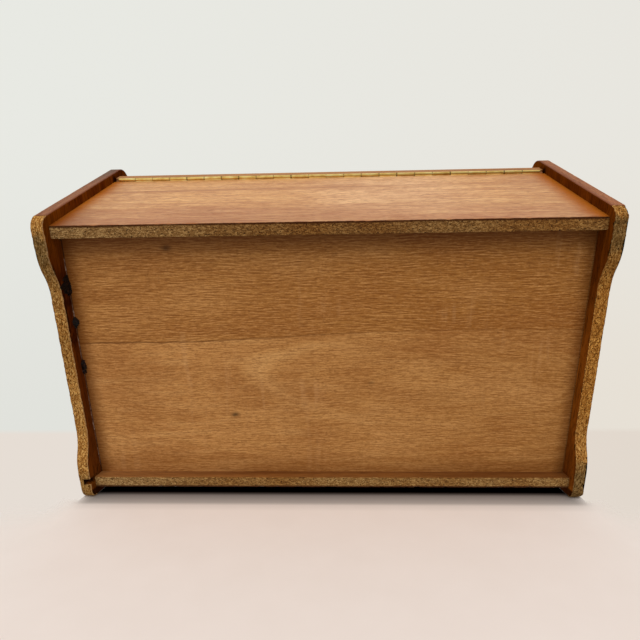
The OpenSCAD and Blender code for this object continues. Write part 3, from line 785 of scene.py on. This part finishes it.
# Tray runners: two planed strips of pale wood under the tray, each nailed to an end panel.
# The brads are plain steel wire with small flat heads.


def pale_finish(name, turn):
    """Planed pale wood with a thin lacquer: streaks and fibres along the grain, and short pores."""
    made, add, place = finish_named(name)
    place = add("Mapping", {"Vector": place, "Rotation": (0.0, 0.0, turn)})
    streaks, fibres, pores = grain(add, place, 24.0, 1.8)
    colour = ramp(add, streaks, (0.28, 182, 132, 80), (0.50, 204, 158, 104), (0.74, 220, 180, 128))
    colour = laid(add, colour, (fibres, 0.35, 0.7, 0.3, 160, 110, 62), (pores, 0.0, 1.0, 0.3, 128, 82, 42))
    return surfaced(made, add, colour, 0.5, maths(add, "SUBTRACT", fibres, pores), 0.00012, gloss=0.4)


def steel_finish():
    """Plain grey steel wire with spots of dullness."""
    made, add, place = finish_named("steel_wire")
    dull = spots(add, place, (700.0, 700.0, 700.0), 3.0)
    colour = ramp(add, dull, (0.3, 92, 88, 84), (0.7, 150, 146, 140))
    return surfaced(made, add, colour, span(add, dull, 0.3, 0.7, 0.3, 0.55), dull, 0.00005, metal=1.0)


pale_across = pale_finish("pale_wood_across", np.pi / 2)
pale_along = pale_finish("pale_wood_along", 0.0)
steel_wire = steel_finish()
dress(pale_across, "left_tray_runner", "right_tray_runner")
dress(steel_wire, "runner_brads")

# Piano hinge: two brass strips with rolled knuckles on one long pin, screwed to the back panel and the lid.
# The brass is dulled in spots, darker in the gaps between the knuckles, and has painted shade under the
# barrel.
KNUCKLES = 24
HINGE_PLAY = 4.2  # from the hinge's end to the end panel
BARREL = 0.0021  # just over the knuckles' radius, in metres


def brass_finish():
    """Yellow metal with fine rolling marks along the strip, small dull spots, painted shade under the
    barrel, and darker lines in the gap at each end of every knuckle."""
    made, add, place = finish_named("brass")
    x, _, z = axes_of(add, place)
    dull = spots(add, place, (130.0, 260.0, 260.0), 3.0, 0.6)
    rolled = spots(add, place, (120.0, 3000.0, 3000.0), 2.0)
    colour = ramp(add, dull, (0.30, 216, 174, 92), (0.50, 246, 212, 126), (0.70, 255, 236, 162))
    pitch = 2 * (INNER_X - HINGE_PLAY) / KNUCKLES / 1000
    barrel = span(add, distance(add, place, HINGE, (0.0, 1.0, 1.0)), BARREL - 0.0003, BARREL, 1.0, 0.0)
    gap = span(add, maths(add, "PINGPONG", x, pitch / 2), 0.0003, 0.0009, 1.0, 0.0)
    gap = times(add, gap, span(add, spots(add, place, (40.0, 1.0, 1.0), 1.0), 0.40, 0.60, 0.25, 0.90))
    # Painted shade under the barrel, where it meets the back panel.
    under = times(add, span(add, z, 0.1378, 0.1384, 0.6, 0.0), span(add, x, 0.12, -0.12, 0.1, 1.0))
    colour = mix(add, times(add, barrel, most(add, gap, under)), colour, rgb(70, 46, 12))
    rough = span(add, dull, 0.3, 0.6, 0.42, 0.30)
    return surfaced(made, add, colour, rough, rolled, 0.00003, metal=1.0)


brass = brass_finish()
dress(brass, "hinge_fixed_leaf", "hinge_fixed_screws", "hinge_pin", "hinge_lid_leaf", "hinge_lid_screws")

# Lid: a flat board of veneered chipboard between the end panels, its leaning edges banded with veneer.
# It is stained and lacquered like the end panels, with the grain along the box.
LID_X = 214.0  # half its length
LID_Z = 140.4  # height of its underside
LIP = 5.0  # how far it stands past the front panel, square to the lean


def lid_finish():
    """Brown lacquered veneer with long streaks, fine fibres and pores along the box."""
    made, add, place = finish_named("lid_board")
    streaks, fibres, pores = grain(add, place, 22.0, 1.8)
    broad = spots(add, place, (2.2, 26.0, 26.0), 3.0, 0.5, 0.6)
    colour = ramp(add, streaks, (0.26, 140, 84, 48), (0.50, 172, 112, 68), (0.74, 192, 134, 88))
    colour = laid(
        add, colour, (broad, 0.42, 0.62, 0.5, 138, 80, 44), (fibres, 0.35, 0.7, 0.35, 112, 64, 34),
        (pores, 0.0, 1.0, 0.45, 74, 38, 18),
    )
    rough = span(add, fibres, 0.3, 0.7, 0.36, 0.46)
    return surfaced(made, add, colour, rough, maths(add, "SUBTRACT", fibres, pores), 0.0001, gloss=0.4)


def lid_front_strip():
    """The thin leaning section of the lid's front band with rounded arrises, carried along the lid."""
    low, high = (-outer_y(z) - LIP / BOARD * ACROSS for z in (LID_Z, LID_Z + BOARD))
    thick = BAND / BOARD * ACROSS
    corners = [[low, LID_Z], [low + thick, LID_Z], [high + thick, LID_Z + BOARD], [high, LID_Z + BOARD]]
    ring, _ = board_ring(corners, 0.25, [0.2, 2.5, 0.2, 2.5])
    flat = carried(ring, np.linspace(-LID_X, LID_X, 215))
    strip = np.stack([flat[..., 0] + 3000, flat[..., 2] - LID_Z, 0 * flat[..., 0]], -1) / 1000
    marks = {"strip": strip}
    return surface("lid_front_strip", flat, "lid", edge_veneer, ["lid_front_band"], marks)


def lid_back_finish():
    """Brown veneer with fine fibres along the lid."""
    made, add, place = finish_named("lid_back_veneer")
    streaks, fibres, pores = grain(add, place, 14.0, 1.2)
    colour = ramp(add, streaks, (0.28, 134, 86, 48), (0.50, 164, 114, 70), (0.74, 182, 134, 88))
    colour = laid(add, colour, (pores, 0.0, 1.0, 0.4, 76, 40, 18))
    return surfaced(made, add, colour, 0.6, fibres, 0.0001, gloss=0.1)


dress(lid_finish(), "lid_panel")
dress(lid_back_finish(), "lid_back_band")
lid_front_strip()

# Tray: pale wood sides and ends nailed at the corners, a plywood bottom in grooves, and housed dividers.
# It slides on the runners and has a finger scoop in its front and back.
dress(pale_along, "tray_front", "tray_back", "tray_long_divider")
dress(pale_across, "tray_left_end", "tray_right_end", "tray_cross_dividers")
dress(plywood, "tray_bottom")
dress(steel_wire, "tray_brads")

# Stage: a pale table under the box as it lies on its front, seen only from its upper side,
# and a pale floor under the feet, seen only from above. Both fade into the backdrop.
REACH = 2.5  # of both sheets to either side, in metres
TABLE_LOW, TABLE_HIGH = -1.2, 0.043  # heights of the table's two edges as the box stands


def ground(name, corners, colour, fade, shade=None):
    """A flat sheet that only the camera sees, from its front side, and that keeps the object's shadow."""
    made, add, place = finish_named(name)
    clear = most(add, add("NewGeometry", out="Backfacing"), fade(add, place))
    dust = spots(add, place, (30.0, 30.0, 30.0), 2.0)
    tint = laid(add, colour, (dust, 0.3, 0.7, 0.06, 200, 188, 176))
    if shade:
        tint = mix(add, 1.0, tint, shade(add, place), "MULTIPLY")
    matt = add("BsdfDiffuse", {"Color": tint})
    both = add("MixShader", {0: clear, 1: matt, 2: add("BsdfTransparent")})
    add("OutputMaterial", {"Surface": both})
    mesh = bpy.data.meshes.new(name)
    mesh.from_pydata(corners, [], [list(range(len(corners)))])
    mesh.materials.append(made)
    sheet = bpy.data.objects.new(name, mesh)
    bpy.context.scene.collection.objects.link(sheet)
    sheet.visible_diffuse = sheet.visible_glossy = sheet.visible_shadow = sheet.visible_transmission = False


def table_fade(add, place):
    """Clear beside the end panels from just below the feet upwards, and under the box further up."""
    x, _, z = axes_of(add, place)
    aside = apart(add, x, 0.0)
    far = times(add, span(add, z, -0.060, -0.010, soft=True), span(add, aside, 0.2245, 0.245))
    high = span(add, z, 0.036, 0.042)
    past = times(add, span(add, aside, 0.2250, 0.2258), span(add, z, -0.012, 0.0, soft=True))
    return most(add, most(add, far, high), past)


def table_shade(add, place):
    """Painted shadow in the narrow space under the box, soft along its edge, on a table that is a little
    warmer before the box than far aside."""
    x, _, z = axes_of(add, place)
    # Painted shadow: the table darkens towards the narrow space under the box.
    darker = (0.05, 1.0), (0.30, 0.85), (0.42, 0.50), (0.58, 0.38), (0.76, 0.26), (0.86, 0.08), (0.96, 0.0)
    deep = ramp(add, span(add, z, -0.025, 0.015), *darker)
    aside = apart(add, x, 0.0)
    plain = laid(add, rgb(255, 250, 249), (aside, 0.16, 0.34, 1.0, 255, 255, 255), soft=True)
    beneath = mix(add, 1.0, deep, plain, "MULTIPLY")
    return mix(add, span(add, aside, 0.214, 0.234, soft=True), beneath, plain)


def floor_fade(add, place):
    """Clear far from the box."""
    return span(add, add("VectorMath", {0: place}, out="Value", operation="LENGTH"), 0.9, 2.4, soft=True)


def table_edge(z):
    """The two ends of the table's edge at a height: its plane touches the end panels' front edges."""
    y = -end_y(z * 1000) / 1000
    return [(REACH, y, z), (-REACH, y, z)]


table_corners = table_edge(TABLE_LOW) + table_edge(TABLE_HIGH)[::-1]
ground("table", table_corners, rgb(235, 230, 226), table_fade, table_shade)
floor_corners = [(-REACH, -REACH, 0.0), (REACH, -REACH, 0.0), (REACH, REACH, 0.0), (-REACH, REACH, 0.0)]
ground("floor", floor_corners, rgb(222, 218, 212), floor_fade)

# Light: an even pale room, whose walls only the camera and glossy faces see, and two broad lamps.
# One lamp is over the box as it lies, and one over it as it stands.
HORIZON = np.radians(30.2)  # the lower backdrop lies towards the front and this far below level
room = bpy.data.worlds.new("room")
room.use_nodes = True
add = adder(room.node_tree)
ray = add("LightPath").node.outputs
seen = most(add, most(add, ray["Is Camera Ray"], ray["Is Glossy Ray"]), ray["Is Transmission Ray"])
even_light = add("Background", {"Color": (1.0, 0.985, 0.96, 1.0), "Strength": 0.58})
towards = add("TexCoord", out="Generated")
x, y, z = axes_of(add, towards)
across = span(add, x, -0.5, 0.5)
lower_wall = mix(add, across, rgb(231, 224, 213), rgb(225, 226, 220))
upper_wall = mix(add, across, rgb(232, 230, 223), rgb(232, 233, 227))
wall = mix(add, span(add, y, -0.45, 0.10, soft=True), lower_wall, upper_wall)
horizon = (-0.0015, -np.cos(HORIZON), -np.sin(HORIZON))
below = add("VectorMath", {0: towards, 1: horizon}, out="Value", operation="DOT_PRODUCT")
below = times(add, span(add, below, -0.004, 0.004), span(add, z, 0.50, 0.60))
ground_tone = mix(add, span(add, x, -0.5, 0.3), rgb(226, 216, 205), rgb(230, 221, 212))
backdrop = add("Background", {"Color": mix(add, below, wall, ground_tone), "Strength": 1.0})
add("OutputWorld", {"Surface": add("MixShader", {0: seen, 1: even_light, 2: backdrop})})
bpy.context.scene.world = room


def lamp(name, towards, strength, softness):
    """A broad far lamp that shines from a direction."""
    made = bpy.data.lights.new(name, "SUN")
    made.energy = strength
    made.angle = np.radians(softness)
    made.color = (1.0, 0.97, 0.92)
    placed = bpy.data.objects.new(name, made)
    placed.rotation_euler = Vector(towards).to_track_quat("Z", "Y").to_euler()
    placed.visible_glossy = False
    bpy.context.scene.collection.objects.link(placed)


lamp("over_the_back", (-0.05, 0.90, -0.43), 1.9, 40.0)
lamp("over_the_lid", (0.35, -0.55, 0.76), 1.7, 40.0)

# Camera: below and behind the box as it stands, so before and above it as it lies.
# Its place and turn are fitted to the box's corners in the photograph.
EYE = (-0.01027, 0.16074, -0.37415)
TURN_DEGREES = (162.475, -1.804, -178.843)
camera = bpy.data.cameras.new("camera")
camera.lens = 27.693
camera.sensor_width = 36.0
camera.clip_start = 0.01
viewer = bpy.data.objects.new("camera", camera)
viewer.matrix_world = Matrix.Translation(EYE) @ Euler(np.radians(TURN_DEGREES)).to_matrix().to_4x4()
bpy.context.scene.collection.objects.link(viewer)
bpy.context.scene.camera = viewer
bpy.context.scene.view_settings.view_transform = "Standard"
